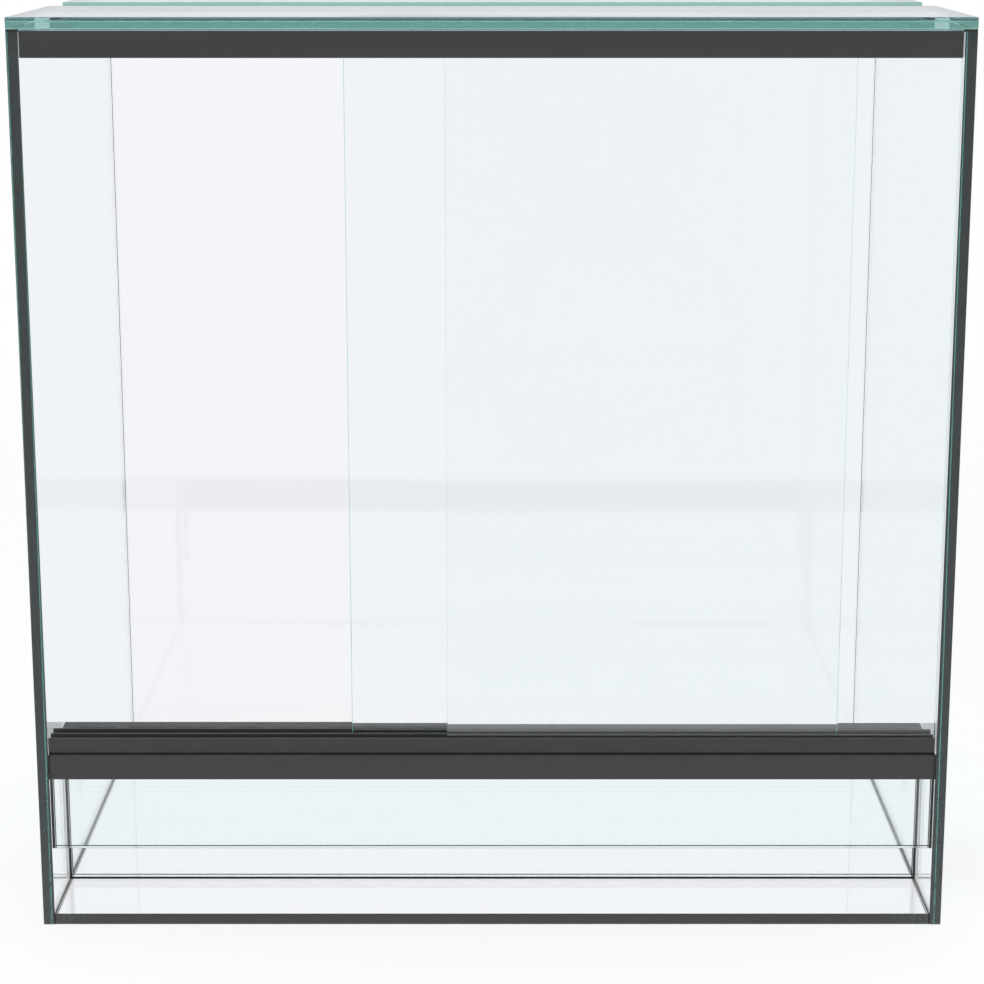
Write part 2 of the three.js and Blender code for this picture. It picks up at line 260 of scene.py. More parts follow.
class SurfaceEffects:
    """The shader groups that several finishes share. Each puts out masks, values and heights only."""

    def __init__(self) -> None:
        """Builds the groups."""
        self.grain = self._grain()
        self.edge_wear = self._edge_wear()
        self.settled_dust = self._settled_dust()
        self.ground_edge = self._ground_edge()
        self.drift = self._drift()

    def _grain(self) -> NodeTree:
        """A fine moulded or coated grain, drawn out along an axis by Stretch."""
        inputs = {"Scale": 900.0, "Stretch": (1.0, 1.0, 1.0), "Coarse Share": 0.35}
        graph, given = make_group("Fine Grain", TreeKind.SHADER, inputs, ("Height", "Mottle"))
        inputs = {0: graph.add("ShaderNodeTexCoord").outputs["Object"], 1: given["Stretch"]}
        drawn = graph.add("ShaderNodeVectorMath", inputs, operation="MULTIPLY").outputs[0]
        fine = graph.noise(drawn, given["Scale"], 3.0)
        wide = graph.noise(drawn, graph.math("MULTIPLY", given["Scale"], 0.12))
        inputs = {"Factor": given["Coarse Share"], "A": fine, "B": wide}
        height = graph.add("ShaderNodeMix", inputs, data_type="FLOAT").outputs[0]
        graph.add("NodeGroupOutput", {"Height": height, "Mottle": graph.ramp(wide, 0.32, 0.68)})
        return graph.tree

    def _edge_wear(self) -> NodeTree:
        """Where an outer edge is rubbed, broken up by noise."""
        inputs = {"Width": 0.0004, "Break Up": 300.0}
        graph, given = make_group("Edge Wear", TreeKind.SHADER, inputs, ("Mask",))
        rounded = graph.add("ShaderNodeBevel", {"Radius": given["Width"]}, samples=6)
        flat = graph.add("ShaderNodeNewGeometry").outputs["Normal"]
        inputs = {0: rounded.outputs["Normal"], 1: flat}
        alike = graph.add("ShaderNodeVectorMath", inputs, operation="DOT_PRODUCT").outputs["Value"]
        edge = graph.ramp(alike, 0.995, 0.9)
        place = graph.add("ShaderNodeTexCoord").outputs["Object"]
        broken = graph.ramp(graph.noise(place, given["Break Up"], 4.0), 0.4, 0.62)
        graph.add("NodeGroupOutput", {"Mask": graph.math("MULTIPLY", edge, broken)})
        return graph.tree

    def _settled_dust(self) -> NodeTree:
        """Fine dust on faces that look up, thicker in patches."""
        inputs = {"Patch Scale": 14.0, "Speck Scale": 1600.0}
        graph, given = make_group("Settled Dust", TreeKind.SHADER, inputs, ("Mask",))
        normal = graph.add("ShaderNodeNewGeometry").outputs["Normal"]
        up = graph.add("ShaderNodeSeparateXYZ", {0: normal}).outputs["Z"]
        place = graph.add("ShaderNodeTexCoord").outputs["Object"]
        patches = graph.ramp(graph.noise(place, given["Patch Scale"]), 0.35, 0.75)
        specks = graph.ramp(graph.noise(place, given["Speck Scale"]), 0.5, 0.75)
        thick = graph.math("ADD", graph.math("MULTIPLY", specks, 0.6), 0.4)
        amount = graph.math("MULTIPLY", patches, thick)
        graph.add("NodeGroupOutput", {"Mask": graph.math("MULTIPLY", amount, graph.ramp(up, 0.5, 0.95))})
        return graph.tree

    def _ground_edge(self) -> NodeTree:
        """Where a pane's ground edges and arrises are, and the height of the wheel's marks on them."""
        inputs = {"Face Axis": (0.0, 0.0, 1.0), "Mark Scale": 1500.0}
        graph, given = make_group("Ground Edge", TreeKind.SHADER, inputs, ("Mask", "Arris", "Height"))
        inputs = {0: graph.add("ShaderNodeNewGeometry").outputs["Normal"], 1: given["Face Axis"]}
        along = graph.add("ShaderNodeVectorMath", inputs, operation="DOT_PRODUCT").outputs["Value"]
        tilt = graph.math("ABSOLUTE", along)
        mask = graph.ramp(tilt, 0.95, 0.85)
        arris = graph.math("MULTIPLY", mask, graph.ramp(tilt, 0.4, 0.6))
        marks = graph.noise(graph.add("ShaderNodeTexCoord").outputs["Object"], given["Mark Scale"])
        inputs = {"Mask": mask, "Arris": arris, "Height": graph.math("MULTIPLY", marks, mask)}
        graph.add("NodeGroupOutput", inputs)
        return graph.tree

    def _drift(self) -> NodeTree:
        """A slow change over the surface, such as the wave of float glass or a wiped film."""
        inputs = {"Scale": 9.0, "Low": 0.0, "High": 1.0}
        graph, given = make_group("Slow Drift", TreeKind.SHADER, inputs, ("Value",))
        wave = graph.noise(graph.add("ShaderNodeTexCoord").outputs["Object"], given["Scale"], 1.0)
        value = graph.ramp(wave, 0.35, 0.65, given["Low"], given["High"])
        graph.add("NodeGroupOutput", {"Value": value})
        return graph.tree


# ---- finishes


def new_material(name: str) -> tuple[Material, NodeGraph]:
    """Makes an empty node material.

    Args:
        name: the material's name.

    Returns:
        The material and the graph of its nodes.
    """
    material = bpy.data.materials.new(name)
    material.use_nodes = True
    return material, NodeGraph(material.node_tree)


@dataclass(frozen=True)
class GlassFinish:
    """Clear float glass with ground edges: the deeper the path through it, the greener it looks."""

    name: str
    face_axis: Axis
    absorbed: Colour = (0.0, 0.736, 0.671)
    density: float = 7.0
    index: float = 1.52
    face_roughness: float = 0.0
    film_roughness: float = 0.003
    film_scale: float = 11.0
    edge_roughness: float = 0.03
    wave_height: float = 0.00002
    wave_scale: float = 6.0
    mark_height: float = 0.0000015
    edge_haze: float = 0.85
    haze_roughness: float = 0.35
    edge_tint: Colour = (0.93, 0.94, 0.94)
    # Painted shade: near black on the arrises stands in for the dark lines that refraction leaves along a
    # pane's edges. White paints no shade.
    arris_painted_shade: Colour = (0.002, 0.003, 0.003)
    lamp_tint: Colour = (0.985, 0.99, 0.988)

    def build(self, effects: SurfaceEffects) -> Material:
        """Builds the material.

        Args:
            effects: the shared shader groups.

        Returns:
            The material.
        """
        material, graph = new_material(self.name)
        edge = graph.group(effects.ground_edge, {"Face Axis": self.face_axis.vector})
        inputs = {"Scale": self.film_scale, "Low": self.face_roughness, "High": self.film_roughness}
        film = graph.group(effects.drift, inputs)["Value"]
        wave = graph.group(effects.drift, {"Scale": self.wave_scale, "Low": 0.0, "High": 1.0})["Value"]
        film_part = graph.math("MULTIPLY", film, graph.math("SUBTRACT", 1.0, edge["Mask"]))
        edge_part = graph.math("MULTIPLY", edge["Mask"], self.edge_roughness)
        inputs = {"Height": wave, "Distance": self.wave_height, "Strength": 1.0}
        waved = graph.add("ShaderNodeBump", inputs).outputs[0]
        inputs = {"Height": edge["Height"], "Distance": self.mark_height, "Strength": 1.0, "Normal": waved}
        marked = graph.add("ShaderNodeBump", inputs)
        tint = graph.blend(edge["Mask"], WHITE, self.edge_tint)
        # Over the ground edges' tint, the arrises get a painted shade of near black, unless it is set to
        # white.
        inputs = {
            "Base Color": graph.blend(edge["Arris"], tint, self.arris_painted_shade),
            "Roughness": graph.math("ADD", film_part, edge_part),
            "IOR": self.index,
            "Transmission Weight": 1.0,
            "Coat Weight": graph.math("MULTIPLY", edge["Mask"], self.edge_haze),
            "Coat Roughness": self.haze_roughness,
            "Normal": marked.outputs[0],
        }
        glass = graph.add("ShaderNodeBsdfPrincipled", inputs)
        clear = graph.add("ShaderNodeBsdfTransparent", {"Color": (*self.lamp_tint, 1.0)})
        path = graph.add("ShaderNodeLightPath").outputs
        for_lamps = graph.mix_shaders(path["Is Shadow Ray"], glass, clear)
        surface = graph.mix_shaders(path["Is Diffuse Ray"], for_lamps, clear)
        inputs = {"Color": (*self.absorbed, 1.0), "Density": self.density}
        inside = graph.add("ShaderNodeVolumeAbsorption", inputs)
        graph.add("ShaderNodeOutputMaterial", {"Surface": surface.outputs[0], "Volume": inside.outputs[0]})
        return material


@dataclass(frozen=True)
class SolidFinish:
    """An opaque finish: a base colour with mottling, grain, rubbed edges and a little dust."""

    name: str
    colour: Colour
    mottle_colour: Colour
    worn_colour: Colour
    roughness: float
    worn_roughness: float
    grain_scale: float
    grain_height: float
    grain_stretch: Colour = (1.0, 1.0, 1.0)
    coarse_share: float = 0.35
    wear_width: float = 0.0004
    wear_amount: float = 0.5
    wear_break_up: float = 260.0
    dust_colour: Colour = (0.45, 0.46, 0.45)
    dust_amount: float = 0.05
    roughness_spread: float = 0.04
    specular: float = 0.5

    def build(self, effects: SurfaceEffects) -> Material:
        """Builds the material.

        Args:
            effects: the shared shader groups.

        Returns:
            The material.
        """
        material, graph = new_material(self.name)
        inputs = {"Scale": self.grain_scale, "Stretch": self.grain_stretch, "Coarse Share": self.coarse_share}
        grain = graph.group(effects.grain, inputs)
        wear = graph.group(effects.edge_wear, {"Width": self.wear_width, "Break Up": self.wear_break_up})
        dust = graph.group(effects.settled_dust, {})
        worn = graph.math("MULTIPLY", wear["Mask"], self.wear_amount)
        dusty = graph.math("MULTIPLY", dust["Mask"], self.dust_amount)
        colour = graph.blend(grain["Mottle"], self.colour, self.mottle_colour)
        colour = graph.blend(worn, colour, self.worn_colour)
        colour = graph.blend(dusty, colour, self.dust_colour)
        low, high = self.roughness - self.roughness_spread, self.roughness + self.roughness_spread
        rough = graph.ramp(grain["Mottle"], 0.0, 1.0, low, high)
        inputs = {"Factor": worn, "A": rough, "B": self.worn_roughness}
        rough = graph.add("ShaderNodeMix", inputs, data_type="FLOAT")
        inputs = {"Height": grain["Height"], "Distance": self.grain_height, "Strength": 1.0}
        bump = graph.add("ShaderNodeBump", inputs)
        inputs = {
            "Base Color": colour,
            "Roughness": rough.outputs[0],
            "Specular IOR Level": self.specular,
            "Normal": bump.outputs[0],
        }
        solid = graph.add("ShaderNodeBsdfPrincipled", inputs)
        graph.add("ShaderNodeOutputMaterial", {"Surface": solid.outputs[0]})
        return material


SILICONE = SolidFinish(
    name="cured_silicone",
    colour=(0.006, 0.0065, 0.0065),
    mottle_colour=(0.009, 0.0095, 0.0095),
    worn_colour=(0.02, 0.02, 0.02),
    roughness=0.42,
    worn_roughness=0.5,
    grain_scale=500.0,
    grain_height=0.00002,
    coarse_share=0.6,
    wear_amount=0.2,
    dust_amount=0.02,
)
RAIL_PLASTIC = SolidFinish(
    name="extruded_plastic",
    colour=(0.022, 0.0225, 0.022),
    mottle_colour=(0.026, 0.0267, 0.026),
    worn_colour=(0.055, 0.06, 0.058),
    roughness=0.42,
    worn_roughness=0.3,
    grain_scale=1500.0,
    grain_height=0.000012,
    grain_stretch=(0.02, 1.0, 1.0),
    wear_width=0.0003,
)
SILL_COATING = SolidFinish(
    name="powder_coat",
    colour=(0.026, 0.026, 0.0255),
    mottle_colour=(0.031, 0.031, 0.0305),
    worn_colour=(0.07, 0.072, 0.072),
    roughness=0.48,
    worn_roughness=0.38,
    grain_scale=1400.0,
    grain_height=0.00003,
    wear_amount=0.35,
    dust_amount=0.06,
)
TAPE_FOAM = SolidFinish(
    name="foam_tape",
    colour=(0.006, 0.006, 0.006),
    mottle_colour=(0.011, 0.011, 0.011),
    worn_colour=(0.02, 0.02, 0.02),
    roughness=0.85,
    worn_roughness=0.85,
    grain_scale=2200.0,
    grain_height=0.00008,
    coarse_share=0.15,
    wear_amount=0.2,
    specular=0.25,
    dust_amount=0.03,
)
SIDE_GLASS = GlassFinish("side_pane_glass", Axis.X, wave_height=0.000005)
FRONT_GLASS = GlassFinish("front_pane_glass", Axis.Y)
FLAT_GLASS = GlassFinish(
    "flat_pane_glass", Axis.Z, density=8.5, edge_tint=(1.0, 0.79, 0.78), arris_painted_shade=WHITE
)
BACK_GLASS = GlassFinish(
    "back_pane_glass", Axis.Y, face_roughness=0.03, film_roughness=0.06, wave_height=0.00006
)
DOOR_GLASS = GlassFinish("clear_door_glass", Axis.Y, edge_haze=0.15, edge_tint=WHITE, arris_painted_shade=WHITE)
CLEAR_TAPE = GlassFinish(
    "clear_mounting_tape",
    Axis.Z,
    absorbed=(0.1, 0.75, 0.7),
    density=40.0,
    film_roughness=0.1,
    edge_roughness=0.3,
)


class Finishes:
    """Every material of the cabinet, built once."""

    def __init__(self) -> None:
        """Builds the shared groups and the materials."""
        effects = SurfaceEffects()
        panes = (SIDE_GLASS, FRONT_GLASS, FLAT_GLASS)
        self.float_glass = {finish.face_axis: finish.build(effects) for finish in panes}
        self.back_glass = BACK_GLASS.build(effects)
        self.door_glass = DOOR_GLASS.build(effects)
        self.silicone = SILICONE.build(effects)
        self.rail_plastic = RAIL_PLASTIC.build(effects)
        self.sill_coating = SILL_COATING.build(effects)
        self.tape_foam = TAPE_FOAM.build(effects)
        self.clear_tape = CLEAR_TAPE.build(effects)


# ---- pieces


def new_piece(name: str, mesh: Mesh) -> Object:
    """Adds an object to the scene for a mesh that is already in place.

    Args:
        name: the object's name.
        mesh: its mesh, in the cabinet's own frame.

    Returns:
        The object, at the origin.
    """
    piece = bpy.data.objects.new(name, mesh)
    bpy.context.scene.collection.objects.link(piece)
    return piece


def hand_over(piece: Object, slot: Slot, *nodes: str) -> None:
    """Sets a piece on the box's body in place of its CAD nodes and reports it.

    Args:
        piece: the piece.
        slot: the record's slot; not used.
        nodes: the CAD nodes that it stands for.
    """
    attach(piece, BOX_BODY)
    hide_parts(*nodes)
    LOG.info("%s: %d faces", piece.name, len(piece.data.polygons))


def dress_node(name: str, material: Material) -> None:
    """Gives a CAD node that stays its finish.

    Args:
        name: the node's name.
        material: the finish.
    """
    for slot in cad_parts[name].material_slots:
        slot.material = material
    LOG.info("%s: dressed in %s", name, material.name)


def smooth_by_angle(mesh: Mesh) -> None:
    """Shades a mesh smooth, with sharp edges where it turns by more than SMOOTH_TURN.

    Args:
        mesh: the mesh.
    """
    mesh.shade_smooth()
    mesh.set_sharp_from_angle(angle=SMOOTH_TURN)


def apply_tree(piece: Object, tree: NodeTree, values: dict[str, Any]) -> None:
    """Runs a geometry tree on a piece and keeps the result as its plain mesh.

    Args:
        piece: the piece.
        tree: the geometry tree.
        values: the tree's inputs by name.
    """
    modifier = piece.modifiers.new(tree.name, "NODES")
    modifier.node_group = tree
    for item in tree.interface.items_tree:
        if item.in_out == "INPUT" and item.name in values:
            modifier[item.identifier] = values[item.name]
    evaluated = piece.evaluated_get(bpy.context.evaluated_depsgraph_get())
    mesh = bpy.data.meshes.new_from_object(evaluated)
    piece.modifiers.remove(modifier)
    spare = piece.data
    piece.data = mesh
    bpy.data.meshes.remove(spare)
    mesh.name = piece.name


class BeadTree:
    """A geometry tree that runs a soft rounded bar along a straight path: a joint of silicone or a tape."""

    def __init__(self) -> None:
        """Builds the tree."""
        sizes = {
            "Geometry": "NodeSocketGeometry",
            "Start": (0.0, 0.0, 0.0),
            "End": (0.0, 0.0, 0.1),
            "Width": 0.001,
            "Height": 0.006,
            "Corner Radius": 0.0001,
            "Step": 0.004,
            "Unevenness": 0.00003,
            "Wave Scale": 90.0,
            "Seed": 3.0,
            "Material": "NodeSocketMaterial",
        }
        graph, given = make_group("Bead Along Path", TreeKind.GEOMETRY, sizes, ("Geometry",))
        line = graph.add("GeometryNodeCurvePrimitiveLine", {"Start": given["Start"], "End": given["End"]})
        inputs = {"Curve": line.outputs[0], "Length": given["Step"]}
        path = graph.add("GeometryNodeResampleCurve", inputs, mode="LENGTH")
        turned = graph.add("GeometryNodeSetCurveNormal", {"Curve": path.outputs[0]}, mode="Z_UP")
        sides = {"Width": given["Width"], "Height": given["Height"]}
        outline = graph.add("GeometryNodeCurvePrimitiveQuadrilateral", sides)
        inputs = {"Curve": outline.outputs[0], "Radius": given["Corner Radius"], "Count": 3}
        fillet = graph.add("GeometryNodeFilletCurve", inputs, mode="POLY")
        inputs = {"Curve": turned.outputs[0], "Profile Curve": fillet.outputs[0], "Fill Caps": True}
        bar = graph.add("GeometryNodeCurveToMesh", inputs)
        position = graph.add("GeometryNodeInputPosition").outputs[0]
        inputs = {"Vector": position, "W": given["Seed"], "Scale": given["Wave Scale"]}
        noise = graph.add("ShaderNodeTexNoise", inputs, noise_dimensions="4D")
        uneven = graph.math("MULTIPLY", given["Unevenness"], -1.0)
        depth = graph.math("MULTIPLY", noise.outputs["Fac"], uneven)
        inputs = {0: graph.add("GeometryNodeInputNormal").outputs[0], "Scale": depth}
        inward = graph.add("ShaderNodeVectorMath", inputs, operation="SCALE")
        inputs = {"Geometry": bar.outputs[0], "Offset": inward.outputs[0]}
        moved = graph.add("GeometryNodeSetPosition", inputs)
        real = graph.add("GeometryNodeRealizeInstances", {"Geometry": moved.outputs[0]})
        inputs = {"Geometry": real.outputs[0], "Material": given["Material"]}
        dressed = graph.add("GeometryNodeSetMaterial", inputs)
        graph.add("NodeGroupOutput", {"Geometry": dressed.outputs[0]})
        self.tree = graph.tree


class SlotTree:
    """A geometry tree that cuts rows of round-ended slots down through a plate."""

    def __init__(self) -> None:
        """Builds the tree."""
        sizes = {
            "Geometry": "NodeSocketGeometry",
            "Columns": 3,
            "Rows": 2,
            "Field Length": 0.1,
            "Field Width": 0.02,
            "Centre": (0.0, 0.0, 0.0),
            "Slot Length": 0.022,
            "Slot Width": 0.0024,
            "Cut Depth": 0.01,
            "Material": "NodeSocketMaterial",
        }
        graph, given = make_group("Slot Rows", TreeKind.GEOMETRY, sizes, ("Geometry",))
        inputs = {
            "Size X": given["Field Length"],
            "Size Y": given["Field Width"],
            "Vertices X": given["Columns"],
            "Vertices Y": given["Rows"],
        }
        places = graph.add("GeometryNodeMeshGrid", inputs)
        sides = {"Width": given["Slot Length"], "Height": given["Slot Width"]}
        outline = graph.add("GeometryNodeCurvePrimitiveQuadrilateral", sides)
        radius = graph.math("MULTIPLY", given["Slot Width"], 0.4999)
        inputs = {"Curve": outline.outputs[0], "Radius": radius, "Count": 5}
        ends = graph.add("GeometryNodeFilletCurve", inputs, mode="POLY")
        half = graph.math("MULTIPLY", given["Cut Depth"], 0.5)
        top = graph.add("ShaderNodeCombineXYZ", {"Z": half}).outputs[0]
        bottom = graph.add("ShaderNodeCombineXYZ", {"Z": graph.math("MULTIPLY", half, -1.0)}).outputs[0]
        line = graph.add("GeometryNodeCurvePrimitiveLine", {"Start": bottom, "End": top})
        inputs = {"Curve": line.outputs[0], "Profile Curve": ends.outputs[0], "Fill Caps": True}
        cutter = graph.add("GeometryNodeCurveToMesh", inputs)
        inputs = {"Points": places.outputs[0], "Instance": cutter.outputs[0]}
        copies = graph.add("GeometryNodeInstanceOnPoints", inputs)
        inputs = {"Geometry": copies.outputs[0], "Translation": given["Centre"]}
        moved = graph.add("GeometryNodeTransform", inputs)
        real = graph.add("GeometryNodeRealizeInstances", {"Geometry": moved.outputs[0]})
        inputs = {"Mesh 1": given["Geometry"], "Mesh 2": real.outputs[0]}
        cut = graph.add("GeometryNodeMeshBoolean", inputs, operation="DIFFERENCE", solver="EXACT")
        whole = graph.add("GeometryNodeRealizeInstances", {"Geometry": cut.outputs[0]})
        inputs = {"Geometry": whole.outputs[0], "Material": given["Material"]}
        dressed = graph.add("GeometryNodeSetMaterial", inputs)
        graph.add("NodeGroupOutput", {"Geometry": dressed.outputs[0]})
        self.tree = graph.tree


@dataclass(frozen=True)
class BeadMaker:
    """Makes beads and tapes that fill the gaps their CAD nodes hold, short of an air film at the glass."""

    tree: NodeTree
    reach: float = 0.035 * MM
    probe: float = 0.12 * MM
    step: float = 4 * MM
    tape_radius: float = 0.06 * MM
    tape_unevenness: float = 0.02 * MM

    def touches(self, node: str, side: int, sign: int) -> bool:
        """Whether something of the cabinet lies against one side of a node.

        Args:
            node: the node's name.
            side: the axis of the side, 0 to 2.
            sign: -1 for the low side and 1 for the high one.

        Returns:
            True if another node covers most of that side.
        """
        low, high = NODE_BOXES[node]
        first, second = Axis(side).others
        hits = 0
        shares = (0.1, 0.5, 0.9)
        for share in shares:
            for other_share in shares:
                point = (low + high) / 2
                point[side] = (high if sign > 0 else low)[side] + sign * self.probe
                point[first] = low[first] + share * (high - low)[first]
                point[second] = low[second] + other_share * (high - low)[second]
                hits += any(self._inside(point, other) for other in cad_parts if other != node)
        return hits > len(shares) ** 2 / 2

    @staticmethod
    def _inside(point: Vector, node: str) -> bool:
        """Whether a point is in a node's box."""
        low, high = NODE_BOXES[node]
        return all(low[i] <= point[i] <= high[i] for i in range(3))

    def spans(self, node: str, squeezed: Vector) -> tuple[Vector, Vector]:
        """The box that a node's bead fills.

        Args:
            node: the node's name.
            squeezed: how far it bulges along each axis, towards the cabinet's inside.

        Returns:
            The lowest and highest corners.
        """
        low, high = (corner.copy() for corner in NODE_BOXES[node])
        inward = [-math.copysign(1.0, (low + high)[side]) for side in range(3)]
        for side in range(3):
            if self.touches(node, side, -1):
                low[side] -= self.reach
            if self.touches(node, side, 1):
                high[side] += self.reach
            if inward[side] > 0:
                high[side] += squeezed[side]
            else:
                low[side] -= squeezed[side]
        return low, high

    def make(
        self, node: str, material: Material, radius: float, uneven: float, seed: int, squeezed: Vector
    ) -> Object:
        """Makes the bead of a node.

        Args:
            node: the CAD node that it fills the place of.
            material: its finish.
            radius: how round its corners are.
            uneven: how far its faces wander inwards.
            seed: the seed of that wandering.
            squeezed: how far it bulges out along each axis.

        Returns:
            The bead, not yet riding on a body.
        """
        low, high = self.spans(node, squeezed)
        size = high - low
        run = max(range(3), key=lambda i: size[i])
        start, end = (low + high) / 2, (low + high) / 2
        start[run], end[run] = low[run], high[run]
        across = Axis(run).others
        piece = new_piece(f"{node}_bead", bpy.data.meshes.new(node))
        values = {
            "Start": start,
            "End": end,
            "Width": size[across[0]],
            "Height": size[across[1]],
            "Corner Radius": radius,
            "Step": self.step,
            "Unevenness": uneven,
            "Seed": float(seed),
            "Material": material,
        }
        apply_tree(piece, self.tree, values)
        smooth_by_angle(piece.data)
        return piece

    def lay_tape(self, node: str, material: Material, slot: Slot, seed: int) -> None:
        """Makes the tape of a node and hands it over.

        Args:
            node: the CAD node that it fills the place of.
            material: its finish.
            slot: the record's slot.
            seed: the seed of its unevenness.
        """
        tape = self.make(node, material, self.tape_radius, self.tape_unevenness, seed, NO_SQUEEZE)
        hand_over(tape, slot, node)


def merged_copy(node: str) -> BMesh:
    """Copies a CAD node's shape with its doubles merged and its flat faces joined.

    Args:
        node: the node's name.

    Returns:
        The copy, which the caller frees.
    """
    shape = bmesh.new()
    shape.from_mesh(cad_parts[node].data)
    bmesh.ops.remove_doubles(shape, verts=shape.verts, dist=MERGE_DISTANCE)
    bmesh.ops.dissolve_limit(shape, angle_limit=FLAT_TURN, verts=shape.verts, edges=shape.edges)
    return shape


def round_edges(shape: BMesh, radius: float, segments: int, shortest: float = 0.0) -> None:
    """Rounds the edges of a shape that turn by more than SHARP_TURN.

    Args:
        shape: the shape.
        radius: the width of the rounding.
        segments: the faces across it.
        shortest: how long an edge has to be, so that a bar's ends can stay as they are cut.
    """
    sharp = [
        edge
        for edge in shape.edges
        if edge.calc_face_angle(0.0) > SHARP_TURN and edge.calc_length() > shortest
    ]
    bmesh.ops.bevel(
        shape,
        geom=sharp,
        offset=radius,
        offset_type="OFFSET",
        segments=segments,
        profile=0.5,
        affect="EDGES",
        clamp_overlap=True,
    )


def mesh_from(shape: BMesh, name: str, material: Material) -> Mesh:
    """Turns a shape into a mesh with a finish, and frees it.

    Args:
        shape: the shape.
        name: the mesh's name.
        material: the finish.

    Returns:
        The mesh.
    """
    bmesh.ops.recalc_face_normals(shape, faces=shape.faces)
    mesh = bpy.data.meshes.new(name)
    shape.to_mesh(mesh)
    shape.free()
    mesh.materials.append(material)
    smooth_by_angle(mesh)
    return mesh


def spread(low: float, high: float, size: float, pitch: float) -> tuple[int, float, float]:
    """How many copies fit a span, a pitch apart and centred in it.

    Args:
        low: where the span starts.
        high: where it ends.
        size: a copy's size.
        pitch: the distance from one to the next.

    Returns:
        The count, the length from the first copy's middle to the last one's, and the middle of them all.
    """
    count = max(1, math.floor((high - low - size) / pitch + COUNT_TOLERANCE) + 1)
    return count, (count - 1) * pitch, (low + high) / 2


@dataclass
class GlassShell:
    """The bonded panes. Their CAD solids stay and get the glass of their direction."""

    finishes: Finishes
    panes: tuple[tuple[str, Axis], ...] = (
        ("left_side_panel", Axis.X),
        ("right_side_panel", Axis.X),
        ("bottom_panel", Axis.Z),
        ("roof_front_pane", Axis.Z),
        ("roof_rear_pane", Axis.Z),
        ("lower_window", Axis.Y),
        ("apron_glass", Axis.Y),
    )

    def build(self) -> None:
        """Dresses every pane."""
        for name, axis in self.panes:
            dress_node(name, self.finishes.float_glass[axis])
        dress_node("back_panel", self.finishes.back_glass)


@dataclass
class SiliconeWork:
    """The black silicone joints between the panes, and the two angle-shaped ones at the sill's ends."""

    finishes: Finishes
    beads: BeadMaker
    corner_radius: float = 0.1 * MM
    unevenness: float = 0.03 * MM
    edge_steps: int = 2
    joints: tuple[str, ...] = tuple(
        f"{place}_joint"
        for place in """
            floor_left floor_right floor_back back_left back_right
            roof_front_left roof_front_right roof_rear_left roof_rear_right roof_back
            window_left window_right window_foot window_head apron_left apron_right
        """.split()
    )
    sill_ends: tuple[str, ...] = ("sill_left_joint", "sill_right_joint")
    rear_corners: tuple[str, ...] = ("back_left_joint", "back_right_joint")
    corner_squeeze: float = 0.2 * MM

    def build(self) -> None:
        """Builds every joint."""
        silicone = self.finishes.silicone
        for seed, name in enumerate(self.joints):
            squeezed = Vector((self.corner_squeeze, 0.0, 0.0)) if name in self.rear_corners else NO_SQUEEZE
            bead = self.beads.make(name, silicone, self.corner_radius, self.unevenness, seed, squeezed)
            hand_over(bead, Slot.BLACK_SILICONE, name)
        for name in self.sill_ends:
            self._sill_end(name)

    def _sill_end(self, name: str) -> None:
        """Builds the joint at one end of the sill.

        Args:
            name: its CAD node.
        """
        shape = merged_copy(name)
        low, high = NODE_BOXES[name]
        middle = (low.x + high.x) / 2
        for vert in shape.verts:
            vert.co.x += self.beads.reach if vert.co.x > middle else -self.beads.reach
        round_edges(shape, self.corner_radius, self.edge_steps)
        bead = new_piece(f"{name}_bead", mesh_from(shape, name, self.finishes.silicone))
        hand_over(bead, Slot.BLACK_SILICONE, name)


@dataclass(frozen=True)
class SlotCutter:
    """Cuts the air slots of the sill and the roof strip."""

    tree: NodeTree
    length: float = 22 * MM
    width: float = 2.4 * MM
    bridge: float = 6 * MM
    row_pitch: float = 5 * MM
    margin: float = 3 * MM
    cut_depth: float = 6 * MM

    def cut(self, plate: Object, x: Pair, y: Pair, z: float) -> None:
        """Cuts as many slots into a plate as fit.

        Args:
            plate: the plate.
            x: its span along the width.
            y: its free span along the depth.
            z: its middle height.
        """
        pitch = self.length + self.bridge
        columns, field_length, x_middle = spread(x[0] + self.bridge, x[1] - self.bridge, self.length, pitch)
        span = (y[0] + self.margin, y[1] - self.margin)
        rows, field_width, y_middle = spread(*span, self.width, self.row_pitch)
        values = {
            "Columns": columns,
            "Rows": rows,
            "Field Length": field_length,
            "Field Width": field_width,
            "Centre": (x_middle, y_middle, z),
            "Slot Length": self.length,
            "Slot Width": self.width,
            "Cut Depth": self.cut_depth,
            "Material": plate.data.materials[0],
        }
        apply_tree(plate, self.tree, values)
        smooth_by_angle(plate.data)


def bar_from_outline(outline: list[Pair], start: float, end: float) -> BMesh:
    """Draws an outline out along X.

    Args:
        outline: the corners in Y and Z.
        start: where the bar starts.
        end: where it ends.

    Returns:
        The bar, which the caller frees.
    """
    shape = bmesh.new()
    ring = [shape.verts.new((start, y, z)) for y, z in outline]
    face = shape.faces.new(ring)
    grown = bmesh.ops.extrude_face_region(shape, geom=[face])
    moved = [item for item in grown["geom"] if isinstance(item, BMVert)]
    bmesh.ops.translate(shape, verts=moved, vec=(end - start, 0, 0))
    bmesh.ops.recalc_face_normals(shape, faces=shape.faces)
    return shape


def round_corner(corner: Pair, before: Pair, after: Pair, radius: float, steps: int) -> list[Pair]:
    """The points of an arc in a right-angled corner.

    Args:
        corner: the corner.
        before: the corner before it.
        after: the corner after it.
        radius: the arc's radius.
        steps: the arc's segments.

    Returns:
        The arc's points, from the side of before to the side of after.
    """
    origin = Vector(corner)
    back = (Vector(before) - origin).normalized() * radius
    ahead = (Vector(after) - origin).normalized() * radius
    centre = origin + back + ahead
    points = []
    for step in range(steps + 1):
        turn = step / steps * math.pi / 2
        points.append(tuple(centre - ahead * math.cos(turn) - back * math.sin(turn)))
    return points


